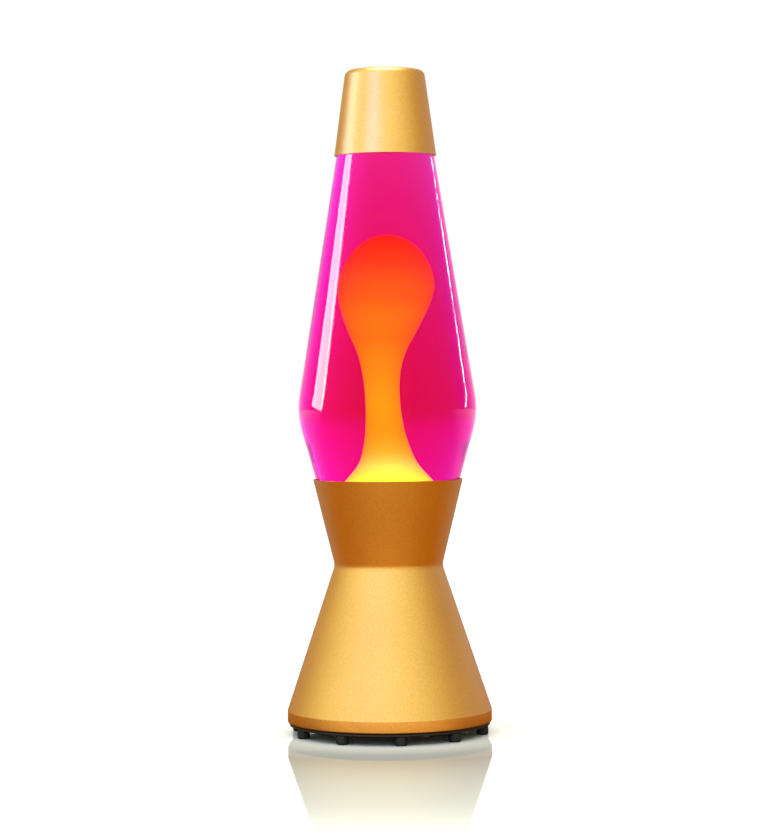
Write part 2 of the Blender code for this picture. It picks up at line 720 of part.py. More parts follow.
def make_crown_closure():
    """Crown cork: a fluted tinplate cap over a soft liner disc."""
    liner_bottom = MOUTH_HEIGHT + GAP
    liner_top = liner_bottom + 0.001
    turned("crown_liner", [
        (0, liner_bottom), (0.0122, liner_bottom), (0.0122, liner_top), (0, liner_top),
    ], SOFT_LINER, 24)
    sheet = 0.0004
    inside = liner_top + GAP
    flute = 0.0006
    turned("crown_cap", [
        (0, inside + sheet),
        (0.0128, inside + sheet),
        (0.0146, inside - 0.0012, 0, flute * 0.2),
        (0.0156, inside - 0.0058, 0, flute),
        (0.0152, inside - 0.0058, 0, flute),
        (0.0142, inside - 0.0014, 0, flute * 0.2),
        (0.0126, inside),
        (0, inside),
    ], TINPLATE, 42)


# ---- cap body ----

def make_top_cap():
    outline = rounded([
        (0, TOTAL_HEIGHT, 0),
        (CAP_TOP_RADIUS, TOTAL_HEIGHT, 0.0042),
        (CAP_EDGE_RADIUS, COLLAR_HEIGHT, 0),
    ])
    turned("top_cap", walled(outline, SHEET), GOLD)


def build():
    clear_scene()
    make_base_shell()
    make_cord_gland()
    make_bottom_plate()
    make_feet()
    make_clamp_lugs()
    make_holder_bracket()
    make_earth_tag()
    make_lamp_holder()
    make_holder_terminals()
    make_terminal_block()
    make_leads()
    make_bulb()
    make_glass_bottle()
    make_wax()
    make_liquid()
    make_heat_coil()
    make_crown_closure()
    make_top_cap()


build()
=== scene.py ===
"""Looks of the lava lamp: smooth turned shells, clear glass, absorbing liquid and glowing wax.

Everything is in metres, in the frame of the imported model: +Z up, front towards -Y.
"""
import math

import bmesh
import bpy
from mathutils import Matrix, Vector


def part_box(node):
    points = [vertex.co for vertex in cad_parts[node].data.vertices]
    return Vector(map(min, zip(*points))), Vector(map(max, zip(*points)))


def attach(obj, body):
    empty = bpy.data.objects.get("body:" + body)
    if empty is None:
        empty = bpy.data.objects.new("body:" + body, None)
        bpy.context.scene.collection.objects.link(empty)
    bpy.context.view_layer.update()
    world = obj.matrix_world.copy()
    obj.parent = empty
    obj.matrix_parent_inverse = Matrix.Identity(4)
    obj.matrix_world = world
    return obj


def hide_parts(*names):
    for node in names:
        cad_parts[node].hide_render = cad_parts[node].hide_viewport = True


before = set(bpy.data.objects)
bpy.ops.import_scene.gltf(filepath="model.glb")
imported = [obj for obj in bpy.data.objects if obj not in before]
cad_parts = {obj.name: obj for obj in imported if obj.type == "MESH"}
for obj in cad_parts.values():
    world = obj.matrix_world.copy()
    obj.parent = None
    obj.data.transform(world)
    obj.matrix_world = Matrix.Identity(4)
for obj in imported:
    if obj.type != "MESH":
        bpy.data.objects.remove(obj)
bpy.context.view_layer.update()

STEPS = 192  # facets round the large turned pieces
FOOT_STEPS = 64
WAX_STEPS = 128
HEAD_STEPS = 24  # rings over the wax's head
ROD_STEPS = 32
HOLE_STEPS = 24
CURVE_STEPS = 8  # rings between two given rings of the wax's neck
ARC_STEP = 8  # degrees of a blend's arc in each segment
ARC_FINENESS = 500  # further segments for each metre of a blend's radius
SHARP_EDGE = 40  # degrees

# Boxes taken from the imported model
SHELL_LOW, SHELL_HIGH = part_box("base_shell")
CAP_LOW, CAP_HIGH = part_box("top_cap")
GLASS_LOW, GLASS_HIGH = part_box("glass_bottle")
PLATE_LOW, PLATE_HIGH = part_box("bottom_plate")

# Base
RIM_HEIGHT = SHELL_HIGH.z
BAND_RADIUS = SHELL_HIGH.x
RIM_RADIUS = 0.0486
SHEET = 0.001  # thickness of the base shell and the cap
WAIST_HEIGHT = 0.1095
WAIST_RADIUS = 0.0350
WAIST_BLEND = 0.009
BAND_TOP = 0.0156
BAND_BLEND = 0.0010
LIP_RADIUS = 0.0603  # inner edge of the lip turned in under the band
LIP_BLEND = 0.0012
GLAND_HEIGHT = 0.031
GLAND_HOLE = 0.0048  # radius
GLAND_CUT = 0.004  # how far its cutter reaches to each side of the wall
FOOT_COUNT = 10
FOOT_RING = 0.0608
FOOT_RADIUS = 0.004
FIRST_FOOT = 6.4  # degrees from the front, counted towards +X
PEG_RADIUS = 0.0022
PEG_HOLE = PEG_RADIUS + 0.0003
FOOT_GAP = 0.0003  # between a foot and the plate
SCREW_HOLE = 0.0018  # radius
LUG_RING = 0.054
LUG_ANGLES = (24, 132, 240)
BRACKET_SCREW_X = 0.032
BLOCK_SCREW = (0.004, 0.038)
VENT_RING = 0.032
VENT_SLOT = (0.003, 0.016, 0.004)  # width, length outwards and the cutter's height
VENT_GROUPS = (45, 135, 225, 315)
VENT_STEP = 16
CUT_MARGIN = 0.001  # how far a hole's cutter reaches past the plate

# Cap
COLLAR_HEIGHT = CAP_LOW.z
CAP_TOP_RADIUS = 0.0255
CAP_EDGE_RADIUS = CAP_HIGH.x
CAP_BLEND = 0.0042

# Bottle
GLASS_WALL = 0.0026
GLASS_FOOT = GLASS_LOW.z
MOUTH_HEIGHT = GLASS_HIGH.z
GLASS_FLOOR = 0.1318
HOLLOW_DEPTH = 0.0012  # the hollow under the bottle's foot
HOLLOW_RADIUS = 0.0260
HOLLOW_EDGE = 0.0290
SEAT_RADIUS = 0.04685
COLLAR_RADIUS = 0.03167
LOWER_TAPER = 0.2803
UPPER_TAPER = 0.1637
BELLY_BLEND = 0.055
SHOULDER_HEIGHT = 0.396
NECK_HEIGHT = 0.4035
NECK_RADIUS = 0.0125
BEAD_RADIUS = 0.0136
BEAD_DEPTH = 0.007
MOUTH_RADIUS = 0.0083
FILL_HEIGHT = 0.384
WETTING = 0.00015  # how far the liquid reaches into the glass, so that no air film shows
GLASS_IOR = 1.5
LIQUID_IOR = 1.36
LOWER_ROUNDING = 0.0028  # of the edge where the liquid and the wax meet the bottle's floor
LIQUID_LOSS = (2.4, 76.0, 25.0)  # how fast red, green and blue light fade in it, per metre
LIQUID_DENSITY = 80.0

# Wax
WAX_TOP = 0.3214
HEAD_LEAN = 0.0004  # shift of its top towards +X
WAX_NECK = (  # height, radius, shift towards +X, from the head's widest ring down to the pool
    (0.2855, 0.0230, -0.0003),
    (0.2756, 0.0215, -0.0011),
    (0.2600, 0.0169, -0.0021),
    (0.2444, 0.0114, -0.0027),
    (0.2290, 0.0088, -0.0027),
    (0.2130, 0.0083, -0.0021),
    (0.1980, 0.0098, -0.0010),
    (0.1820, 0.0133, 0.0001),
    (0.1715, 0.0189, 0.0005),
    (0.1620, 0.0260, 0.0005),
    (0.1555, 0.0335, 0.0002),
)
POOL_HEIGHT = 0.150
WAX_GAP = 0.0002  # between the pool and the glass
WAX_COLOUR = (0.7, 0.12, 0.0, 1.0)
GLOW_TOP = 0.3235
# The wax's glow is painted light that stands in for the bulb shining up through it.
WAX_GLOW = (  # its light as the liquid lets it through, from the pool to the top of the head
    (0.00, (1.15, 7.2, 0.10)), (0.10, (1.15, 8.2, 0.10)), (0.16, (1.15, 10.8, 0.25)),
    (0.21, (1.15, 9.1, 0.06)), (0.28, (1.15, 9.6, 0.01)), (0.36, (1.18, 13.0, 0.00)),
    (0.46, (1.18, 7.9, 0.00)), (0.60, (1.15, 2.3, 0.00)), (0.75, (1.12, 0.64, 0.00)),
    (0.88, (1.10, 0.22, 0.00)), (1.00, (1.10, 0.11, 0.00)),
)
# WAX_SPILL is a painted spill of light from the wax onto the pieces round it.
WAX_SPILL = (0.5, 0.16, 0.0)  # the light that the wax casts on the pieces round it

# Gold finish
GOLD_GRAIN = ((0.30, (0.84, 0.41, 0.09)), (0.70, (1.0, 0.57, 0.17)))
GOLD_CLOUD = ((0.35, (0.94, 0.93, 0.92)), (0.65, (1.0, 1.0, 1.0)))
GOLD_ROUGHNESS = (0.26, 0.40)
GRAIN_SCALE = 1150.0
CLOUD_SCALE = 18.0
GRAIN_DEPTH = 0.00012
GRAIN_STRENGTH = 0.75

# Studio, as the satin surfaces see it
KEY_DIRECTION = (-0.335, -0.717, 0.61)  # towards a wide soft key light
KEY_SPAN = (-0.4, 1.0)  # cosines between which its colours change
STUDIO_SOFTBOX = (  # its colours, from far aside to its middle
    (0.0, (0.56, 0.45, 0.25)), (0.20, (0.68, 0.60, 0.36)), (0.60, (0.89, 0.96, 0.72)),
    (0.85, (1.08, 1.24, 1.05)), (0.97, (1.20, 1.40, 1.40)), (1.0, (1.27, 1.50, 1.90)),
)
# Painted light and shade that the floor gives off to reflections: a painted shadow under the lamp,
# painted shade tinted by the gold's light near it, painted light further out.
FLOOR_SHADOW = (0.02, 0.02, 0.02)  # right under the lamp
SHADOW_EDGE = (0.07, 0.12)  # distances from the axis over which it ends
FLOOR_NEAR = (0.46, 0.19, 0.0)
FLOOR_SKIRT = (1.3, 0.8, 0.25)  # close in front of the base, what its band sees
SKIRT_EDGE = (0.14, 0.19)
SKIRT_SIDE = (-0.10, -0.05)  # along Y, where it gives way to FLOOR_NEAR
FLOOR_FAR = (1.6, 1.55, 0.8)
FLOOR_BEHIND = (0.46, 0.32, 0.28)
GLOSS_SPAN = (-1.3, 0.5)
FLOOR_GLOSS = (  # what satin surfaces see further out, along Y over the GLOSS_SPAN
    (0.0, FLOOR_FAR), (0.556, FLOOR_NEAR), (0.75, FLOOR_NEAR), (1.0, FLOOR_BEHIND),
)
RIM_DIRECTION = (0.78, 0.62, 0.0)  # a pale panel behind the lamp on the right
RIM_SPAN = (0.6, 1.0)
STUDIO_RIM = (0.56, 0.50, 0.50)

# Studio, as the glass and the liquid see it
ROOM = (0.8, 0.06, 0.12)  # what sharp reflections see in front of the lamp
WHITE = (1.0, 1.0, 1.0)
DUSK = (0.86, 1.0, 1.05)  # what the liquid's right side gathers from the floor behind
LILAC = (1.35, 1.0, 2.2)  # what its left side gathers there
SKY = (1.15, 1.2, 2.2)  # what its middle gathers from above the horizon
SKY_DUSK = (0.98, 1.2, 2.1)
SKY_LILAC = (1.4, 1.1, 3.0)
HORIZON_SPAN = (0.02, 0.12)
SIDE_SPAN = (-0.60, 0.75)  # from where to where, sideways, the backdrop changes
GLASS_SURROUND = (  # what sharp reflections see, from beside the lamp to straight behind it
    (0.0, ROOM), (0.45, (1.1, 0.05, 1.0)), (0.70, (1.7, 0.2, 1.3)),
    (0.90, (1.9, 0.5, 1.2)), (1.0, (1.3, 0.9, 1.1)),
)
GLASS_FLOOR_SPAN = (-0.05, 2.5)
# Painted light on the floor, as sharp reflections see it.
GLASS_FLOOR_SURROUND = (  # the same on the floor, along Y over the GLASS_FLOOR_SPAN
    (0.0, ROOM), (0.07, (1.2, 0.08, 0.7)), (0.16, (1.8, 0.3, 1.1)),
    (0.5, (2.2, 0.5, 1.4)), (1.0, (1.6, 0.8, 1.2)),
)

# Floor, as the camera sees it
FLOOR_COLOUR = (0.90, 0.88, 0.83, 1.0)
FLOOR_SHEEN = (  # share of the light that the floor mirrors, over the SHEEN_SPAN
    (0.0, 0.24), (0.12, 0.60), (0.20, 0.66), (0.44, 0.50), (0.68, 0.36), (1.0, 0.0),
)
SHEEN_SPAN = (0.06, 0.40)  # from the lamp's feet outwards
SHEEN_TINT = (0.4, 0.4, 0.4, 1.0)
SHEEN_ROUGHNESS = 0.04
FLOOR_SIZE = 6.0

# Lights
SUN_ENERGY = 1.25
SUN_ANGLE = 100  # degrees
WALL_DISTANCE = 5.0
WALL_HEIGHT = 12.0
WALL_WIDTH = 10.0
WALL_COLOUR = (2.45, 2.5, 2.6)
GLASS_LIGHTS = (  # name, distance, angle and height of both ends, width, radiance
    ("left_softbox", 1.2, (-102.5, 0.2), (-93, 1.1), 0.44, 9),
    ("left_edge", 1.19, (-92, 0.2), (-92, 1.1), 0.03, 14),
    ("right_strip", 1.0, (118, 0.2), (160, 1.05), 0.010, 55),
)
OVERHEAD_REACH = 0.35  # on each side of the axis
OVERHEAD_HEIGHT = 1.5
OVERHEAD_WIDTH = 0.7
OVERHEAD_RADIANCE = 9
CAP_LIGHTS = (  # name, angle, width, colour
    ("left_fill", -95, 0.6, (0.65, 1.35, 4.3)),
    ("front_softbox", -30, 0.5, (0.1, 0.45, 4.4)),
)
CAP_LIGHT_DISTANCE = 1.2
CAP_LIGHT_SPAN = (0.3, 1.1)  # heights

# Camera
SENSOR_WIDTH = 36.0
FOCAL_LENGTH = 115.3
CAMERA_PLACE = (0.00035, -1.747, 0.242)
CAMERA_DIP = 1.26  # degrees below the horizon
CAMERA_ROLL = -0.47  # degrees


# ---- mesh building ----

def rounded(corners):
    """The outline through (radius, height, blend) corners, each blend an arc of short segments."""
    points = []
    for index, (radius, height, blend) in enumerate(corners):
        corner = Vector((radius, height))
        if blend == 0:
            points.append(corner)
            continue
        before = (Vector(corners[index - 1][:2]) - corner).normalized()
        after = (Vector(corners[index + 1][:2]) - corner).normalized()
        half = before.angle(after) / 2
        centre = corner + (before + after).normalized() * blend / math.sin(half)
        spoke = corner + before * blend / math.tan(half) - centre
        turn = math.copysign(math.pi - 2 * half, -before.cross(after))
        segments = max(3, round(abs(math.degrees(turn)) / ARC_STEP + blend * ARC_FINENESS))
        for step in range(segments + 1):
            points.append(centre + Matrix.Rotation(turn * step / segments, 2) @ spoke)
    return points


def walled(outline, wall):
    """The outline and its copy one wall to its right, as one loop round a sheet."""
    offset = []
    for index, point in enumerate(outline):
        normals = []
        for first, second in ((index - 1, index), (index, index + 1)):
            if first >= 0 and second < len(outline):
                along = (outline[second] - outline[first]).normalized()
                normals.append(Vector((along.y, -along.x)))
        mitre = sum(normals, Vector((0, 0))).normalized()
        offset.append(point + mitre * wall / mitre.dot(normals[0]))
    return outline + offset[::-1]


def add_ring(shape, point, steps):
    """A ring of corners at (radius, height, shift), or one point on the axis."""
    radius, height, shift = (*point, 0.0)[:3]
    if radius < 1e-6:
        return [shape.verts.new((shift, 0.0, height))]
    ring = []
    for step in range(steps):
        angle = 2 * math.pi * step / steps
        ring.append(shape.verts.new((shift + radius * math.cos(angle), radius * math.sin(angle), height)))
    return ring


def join_rings(shape, first, second):
    """Faces between two rings, or between a ring and a point."""
    steps = max(len(first), len(second))
    for step in range(steps):
        corners = [
            first[step % len(first)],
            first[(step + 1) % len(first)],
            second[(step + 1) % len(second)],
            second[step % len(second)],
        ]
        shape.faces.new(list(dict.fromkeys(corners)))


def add_piece(name, shape, material, body, node):
    """Turn a bmesh into a piece that rides on a body and stands for the named CAD node."""
    bmesh.ops.recalc_face_normals(shape, faces=shape.faces)
    mesh = bpy.data.meshes.new(name)
    shape.to_mesh(mesh)
    shape.free()
    mesh.materials.append(material)
    mesh.shade_smooth()
    mesh.set_sharp_from_angle(angle=math.radians(SHARP_EDGE))
    piece = bpy.data.objects.new(name, mesh)
    bpy.context.scene.collection.objects.link(piece)
    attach(piece, body)
    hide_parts(node)
    return piece


def turned_shape(outline, steps=STEPS, looped=False):
    """A turned solid about Z. A looped outline closes on itself; the others end on the axis."""
    shape = bmesh.new()
    rings = [add_ring(shape, point, steps) for point in outline]
    if looped:
        rings.append(rings[0])
    for first, second in zip(rings, rings[1:]):
        join_rings(shape, first, second)
    return shape


def add_rod(shape, radius, start, end, steps=ROD_STEPS):
    """Add a closed cylinder between two points to a bmesh."""
    along = end - start
    turn = along.to_track_quat("Z", "Y").to_matrix().to_4x4()
    bmesh.ops.create_cone(
        shape, cap_ends=True, segments=steps, radius1=radius, radius2=radius, depth=along.length,
        matrix=Matrix.Translation((start + end) / 2) @ turn,
    )


def cut_shape(shape, cutter):
    """The first bmesh less the second, both closed."""
    things = []
    for part in (shape, cutter):
        bmesh.ops.recalc_face_normals(part, faces=part.faces)
        mesh = bpy.data.meshes.new("cutting")
        part.to_mesh(mesh)
        part.free()
        thing = bpy.data.objects.new("cutting", mesh)
        bpy.context.scene.collection.objects.link(thing)
        things.append(thing)
    target, tool = things
    difference = target.modifiers.new("cut", "BOOLEAN")
    difference.object = tool
    bpy.context.view_layer.update()
    evaluated = target.evaluated_get(bpy.context.evaluated_depsgraph_get())
    result = bmesh.new()
    result.from_mesh(evaluated.to_mesh())
    evaluated.to_mesh_clear()
    for thing in things:
        bpy.data.objects.remove(thing)
    return result


# ---- materials ----

class Tree:
    """A node tree, with short calls to add nodes and link them."""

    def __init__(self, tree):
        self.tree = tree

    def add(self, kind, **inputs):
        node = self.tree.nodes.new("ShaderNode" + kind)
        for key, value in inputs.items():
            node.inputs[key.replace("_", " ")].default_value = value
        return node

    def link(self, source, target):
        self.tree.links.new(source, target)

    def place(self):
        """Coordinates fixed to the piece, in metres."""
        return self.add("TexCoord").outputs["Object"]

    def split(self, vector):
        """The X, Y and Z of a vector."""
        split = self.add("SeparateXYZ")
        self.link(vector, split.inputs["Vector"])
        return split.outputs

    def vector_math(self, operation, vector, other=(0.0, 0.0, 0.0)):
        math_node = self.add("VectorMath")
        math_node.operation = operation
        math_node.inputs[1].default_value = other
        self.link(vector, math_node.inputs[0])
        return math_node.outputs

    def noise(self, scale, detail=2.0, roughness=0.5):
        noise = self.add("TexNoise", Scale=scale, Detail=detail, Roughness=roughness)
        self.link(self.place(), noise.inputs["Vector"])
        return noise.outputs["Fac"]

    def ramp(self, factor, stops):
        """A colour ramp through (position, colour) stops."""
        ramp = self.add("ValToRGB")
        elements = ramp.color_ramp.elements
        while len(elements) < len(stops):
            elements.new(0.5)
        for element, (position, colour) in zip(elements, stops):
            element.position = position
            element.color = (*colour, 1.0)
        self.link(factor, ramp.inputs["Fac"])
        return ramp.outputs["Color"]

    def choose(self, switch, off, on):
        """One colour where the switch is 0 and another where it is 1, each a socket or a plain colour."""
        mix = self.add("MixRGB")
        self.link(switch, mix.inputs["Fac"])
        for key, value in (("Color1", off), ("Color2", on)):
            if isinstance(value, tuple):
                mix.inputs[key].default_value = (*value, 1.0)
            else:
                self.link(value, mix.inputs[key])
        return mix.outputs["Color"]

    def spread(self, factor, low, high, start=0.0, end=1.0, smooth=False):
        """A factor mapped from start..end to low..high."""
        span = self.add("MapRange")
        if smooth:
            span.interpolation_type = "SMOOTHSTEP"
        for key, value in (("From Min", start), ("From Max", end), ("To Min", low), ("To Max", high)):
            span.inputs[key].default_value = value
        self.link(factor, span.inputs["Value"])
        return span.outputs["Result"]


class Nodes(Tree):
    """A material and its node tree."""

    def __init__(self, name):
        self.material = bpy.data.materials.new(name)
        self.material.use_nodes = True
        super().__init__(self.material.node_tree)
        self.shader = self.tree.nodes["Principled BSDF"]
        self.output = self.tree.nodes["Material Output"]

    def set(self, **values):
        for key, value in values.items():
            self.shader.inputs[key.replace("_", " ")].default_value = value

    def bump(self, height, distance, strength=1.0):
        bump = self.add("Bump", Strength=strength, Distance=distance)
        self.link(height, bump.inputs["Height"])
        self.link(bump.outputs["Normal"], self.shader.inputs["Normal"])


def gold_material():
    """Bead-blasted, gold-anodised aluminium: a fine sandy grain that sparkles."""
    nodes = Nodes("gold_anodised")
    nodes.set(Metallic=1.0)
    grain = nodes.noise(GRAIN_SCALE, detail=3.0, roughness=0.8)
    mix = nodes.add("MixRGB", Fac=1.0)
    mix.blend_type = "MULTIPLY"
    nodes.link(nodes.ramp(grain, GOLD_GRAIN), mix.inputs["Color1"])
    nodes.link(nodes.ramp(nodes.noise(CLOUD_SCALE), GOLD_CLOUD), mix.inputs["Color2"])
    nodes.link(mix.outputs["Color"], nodes.shader.inputs["Base Color"])
    nodes.link(nodes.spread(grain, *GOLD_ROUGHNESS), nodes.shader.inputs["Roughness"])
    nodes.bump(grain, GRAIN_DEPTH, GRAIN_STRENGTH)
    return nodes.material


def glass_material(name, ior):
    """Smooth clear glass that bends light by the given index."""
    nodes = Nodes(name)
    nodes.set(Base_Color=(1.0, 1.0, 1.0, 1.0), Roughness=0.0, IOR=ior, Transmission_Weight=1.0)
    return nodes.material


def liquid_material():
    """Clear pink liquid, whose colour deepens with the length of the way through it.

    The wet side of the glass already bends the light, so this surface doesn't bend it again.
    """
    nodes = Nodes("pink_liquid")
    nodes.set(Base_Color=(1.0, 1.0, 1.0, 1.0), Roughness=0.0, IOR=1.0, Transmission_Weight=1.0)
    kept = [1 - loss / LIQUID_DENSITY for loss in LIQUID_LOSS]
    absorption = nodes.add("VolumeAbsorption", Color=(*kept, 1.0), Density=LIQUID_DENSITY)
    nodes.link(absorption.outputs["Volume"], nodes.output.inputs["Volume"])
    return nodes.material


def wax_material():
    """Wax whose glow is painted light standing in for the bulb's: yellow above the bulb, orange up the
    neck and red-orange in the head.

    Rays that went through the glass see the painted glow; the pieces round it get a softer painted spill.
    """
    nodes = Nodes("glowing_wax")
    nodes.set(Base_Color=WAX_COLOUR, Roughness=0.4, Specular_IOR_Level=0.1, Emission_Strength=1.0)
    height = nodes.spread(nodes.split(nodes.place())["Z"], 0.0, 1.0, start=POOL_HEIGHT, end=GLOW_TOP)
    glow = nodes.ramp(height, WAX_GLOW)
    rays = nodes.add("LightPath").outputs
    for depth in ("Glossy Depth", "Diffuse Depth"):
        glow = nodes.choose(nodes.spread(rays[depth], 0.0, 1.0), glow, WAX_SPILL)
    glow = nodes.choose(rays["Is Transmission Ray"], WAX_SPILL, glow)
    nodes.link(glow, nodes.shader.inputs["Emission Color"])
    return nodes.material


def plain_grain_material(name, dark, light, roughness, metallic=0.0, scale=900.0, bump=0.00004):
    """A material with a fine moulded or plated grain between two close colours."""
    nodes = Nodes(name)
    nodes.set(Metallic=metallic)
    grain = nodes.noise(scale, detail=4.0, roughness=0.6)
    nodes.link(nodes.ramp(grain, [(0.3, dark), (0.7, light)]), nodes.shader.inputs["Base Color"])
    low, high = roughness
    nodes.link(nodes.spread(grain, low, high), nodes.shader.inputs["Roughness"])
    nodes.bump(grain, bump)
    return nodes.material


MATERIALS = {
    "gold": gold_material(),
    "glass": glass_material("clear_glass", GLASS_IOR),
    "wet_glass": glass_material("wet_glass", GLASS_IOR / LIQUID_IOR),
    "liquid": liquid_material(),
    "wax": wax_material(),
    "black_plastic": plain_grain_material(
        "black_plastic", (0.010, 0.010, 0.011), (0.022, 0.022, 0.023), (0.35, 0.55)),
    "black_rubber": plain_grain_material(
        "black_rubber", (0.010, 0.010, 0.011), (0.022, 0.022, 0.022), (0.45, 0.65), bump=0.00003),
    "zinc": plain_grain_material(
        "zinc_plate", (0.50, 0.50, 0.47), (0.72, 0.72, 0.68), (0.25, 0.42), metallic=1.0, scale=350.0),
    "brass": plain_grain_material(
        "brass", (0.68, 0.46, 0.18), (0.82, 0.60, 0.26), (0.22, 0.38), metallic=1.0, scale=400.0),
    "tin": plain_grain_material(
        "tinplate", (0.62, 0.62, 0.64), (0.78, 0.78, 0.80), (0.15, 0.28), metallic=1.0, scale=300.0),
    "liner": plain_grain_material("liner", (0.66, 0.66, 0.62), (0.78, 0.78, 0.74), (0.5, 0.7)),
    "cream": plain_grain_material("cream_plastic", (0.72, 0.67, 0.55), (0.82, 0.78, 0.68), (0.3, 0.45)),
    "bulb": plain_grain_material("bulb_glass", (0.80, 0.80, 0.78), (0.90, 0.90, 0.88), (0.15, 0.30)),
    "tungsten": plain_grain_material(
        "tungsten", (0.25, 0.24, 0.23), (0.42, 0.40, 0.39), (0.35, 0.5), metallic=1.0),
    "brown": plain_grain_material("brown_sleeve", (0.15, 0.065, 0.03), (0.23, 0.10, 0.045), (0.4, 0.55)),
    "blue": plain_grain_material("blue_sleeve", (0.02, 0.07, 0.36), (0.04, 0.12, 0.48), (0.4, 0.55)),
    "green": plain_grain_material("green_sleeve", (0.08, 0.36, 0.06), (0.14, 0.46, 0.10), (0.4, 0.55)),
}


# ---- base ----

def at_angle(radius, degrees, height=0.0):
    """A place on a ring, with the angle counted from the front towards +X."""
    angle = math.radians(degrees)
    return Vector((radius * math.sin(angle), -radius * math.cos(angle), height))


def make_base_shell():
    """The hourglass shell, with a hole for the cord gland square to the wall at the back."""
    outline = rounded([
        (RIM_RADIUS, RIM_HEIGHT, 0),
        (WAIST_RADIUS, WAIST_HEIGHT, WAIST_BLEND),
        (BAND_RADIUS, BAND_TOP, BAND_BLEND),
        (BAND_RADIUS, SHELL_LOW.z, LIP_BLEND),
        (LIP_RADIUS, SHELL_LOW.z, 0),
    ])
    taper = (BAND_RADIUS - WAIST_RADIUS) / (WAIST_HEIGHT - BAND_TOP)
    wall = Vector((0, BAND_RADIUS - taper * (GLAND_HEIGHT - BAND_TOP), GLAND_HEIGHT))
    outwards = Vector((0, 1, taper)).normalized() * GLAND_CUT
    hole = bmesh.new()
    add_rod(hole, GLAND_HOLE, wall - outwards, wall + outwards)
    shape = cut_shape(turned_shape(walled(outline, SHEET), looped=True), hole)
    add_piece("base_skin", shape, MATERIALS["gold"], "base", "base_shell")


def foot_angles():
    """Where the feet stand, in degrees from the front."""
    return [FIRST_FOOT + 360 / FOOT_COUNT * index for index in range(FOOT_COUNT)]


def cut_vents(holes):
    """Add four groups of three radial slots to a cutter."""
    middle = (PLATE_LOW.z + PLATE_HIGH.z) / 2
    for group in VENT_GROUPS:
        for angle in (group - VENT_STEP, group, group + VENT_STEP):
            place = Matrix.Translation(at_angle(VENT_RING, angle, middle))
            turn = Matrix.Rotation(math.radians(angle), 4, "Z")
            bmesh.ops.create_cube(holes, size=1.0, matrix=place @ turn @ Matrix.Diagonal((*VENT_SLOT, 1)))


def make_bottom_plate():
    """The moulded plate, with holes for the feet and screws and four groups of vent slots."""
    below = Vector((0, 0, PLATE_LOW.z - CUT_MARGIN))
    above = Vector((0, 0, PLATE_HIGH.z + CUT_MARGIN))
    holes = bmesh.new()
    for angle in foot_angles():
        centre = at_angle(FOOT_RING, angle)
        add_rod(holes, PEG_HOLE, centre + below, centre + above, HOLE_STEPS)
    screw_places = [at_angle(LUG_RING, angle) for angle in LUG_ANGLES]
    screw_places += [Vector((side * BRACKET_SCREW_X, 0, 0)) for side in (-1, 1)]
    screw_places.append(Vector((*BLOCK_SCREW, 0)))
    for centre in screw_places:
        add_rod(holes, SCREW_HOLE, centre + below, centre + above, HOLE_STEPS)
    cut_vents(holes)
    disc = turned_shape(rounded([
        (0, PLATE_LOW.z, 0), (PLATE_HIGH.x, PLATE_LOW.z, 0.0003),
        (PLATE_HIGH.x, PLATE_HIGH.z, 0.0003), (0, PLATE_HIGH.z, 0),
    ]))
    shape = cut_shape(disc, holes)
    add_piece("plate_disc", shape, MATERIALS["black_plastic"], "base", "bottom_plate")


def make_feet():
    """Round rubber feet with a rounded tread edge and a peg into the plate."""
    shoulder = PLATE_LOW.z - FOOT_GAP
    outline = rounded([
        (0, 0, 0), (FOOT_RADIUS, 0, 0.0009), (FOOT_RADIUS, shoulder, 0.0004),
        (PEG_RADIUS, shoulder, 0.0002), (PEG_RADIUS, PLATE_HIGH.z, 0.0003), (0, PLATE_HIGH.z, 0),
    ])
    for index, angle in enumerate(foot_angles()):
        shape = turned_shape(outline, FOOT_STEPS)
        bmesh.ops.translate(shape, verts=shape.verts, vec=at_angle(FOOT_RING, angle))
        name = f"foot_{index + 1}"
        add_piece(f"{name}_rubber", shape, MATERIALS["black_rubber"], "base", name)


# ---- bottle ----

def lower_cone(height):
    """Outer radius of the bottle's lower cone at a height."""
    return SEAT_RADIUS + LOWER_TAPER * (height - RIM_HEIGHT)


def upper_cone(height):
    """Outer radius of the bottle's upper cone at a height."""
    return COLLAR_RADIUS + UPPER_TAPER * (COLLAR_HEIGHT - height)


def belly():
    """Radius and height at which the bottle's two cones would meet."""
    height = (upper_cone(0) - lower_cone(0)) / (LOWER_TAPER + UPPER_TAPER)
    return lower_cone(height), height


